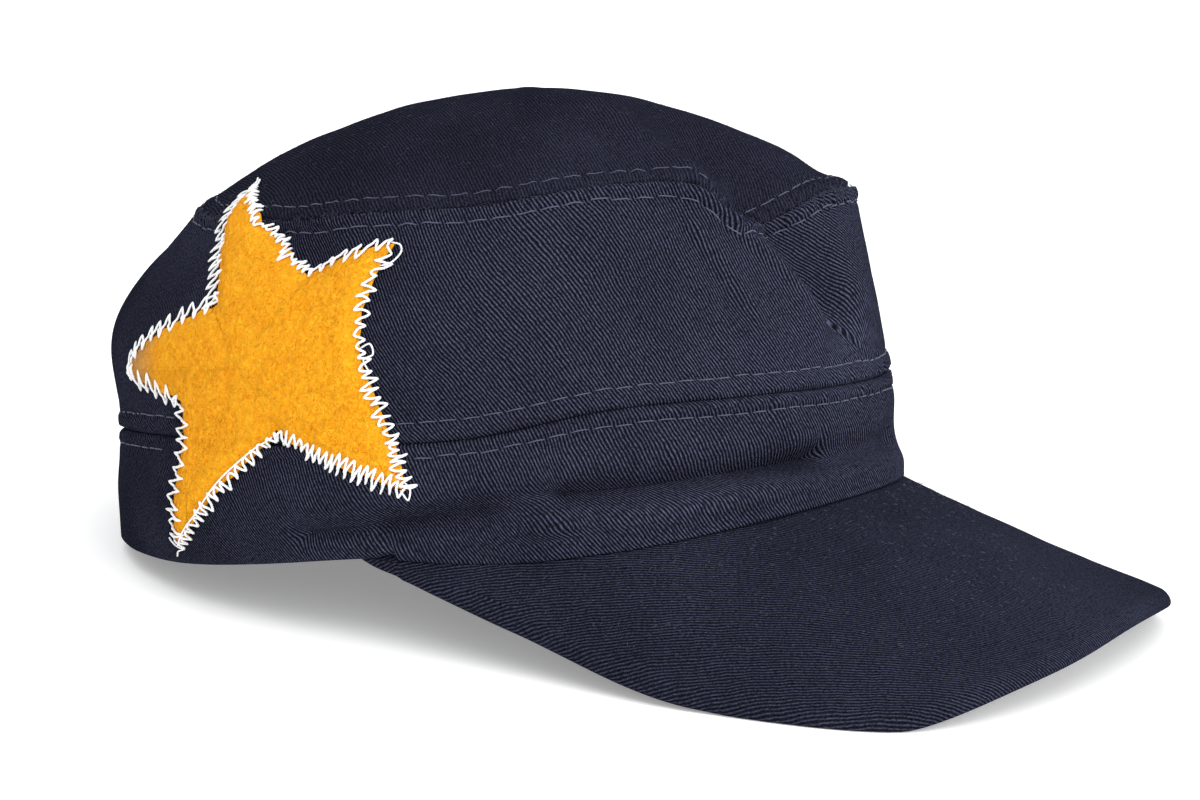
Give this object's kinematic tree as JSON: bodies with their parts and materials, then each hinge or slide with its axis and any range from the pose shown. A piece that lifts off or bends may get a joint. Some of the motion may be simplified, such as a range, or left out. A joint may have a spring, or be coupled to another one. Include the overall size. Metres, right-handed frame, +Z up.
{
  "type": "cadet cap",
  "caption": "Soft fabric cadet cap with a domed oval crown, a tall side panel, a head band, an arched peak and a felt star sewn on the wearer's right side.",
  "frame": {"origin": "on the surface that the cap rests on, below the middle of its box", "axes": "+Z up, the peak towards -Y, the wearer's right side with the star towards -X"},
  "size_m": [0.1806, 0.2715, 0.1164],
  "materials": {
    "twill": "matt navy cotton twill",
    "felt": "matt orange felt"
  },
  "bodies": {
    "root": {"crown_top": "twill", "side_panel": "twill", "band": "twill", "peak": "twill", "star": "felt"}
  },
  "joints": []
}
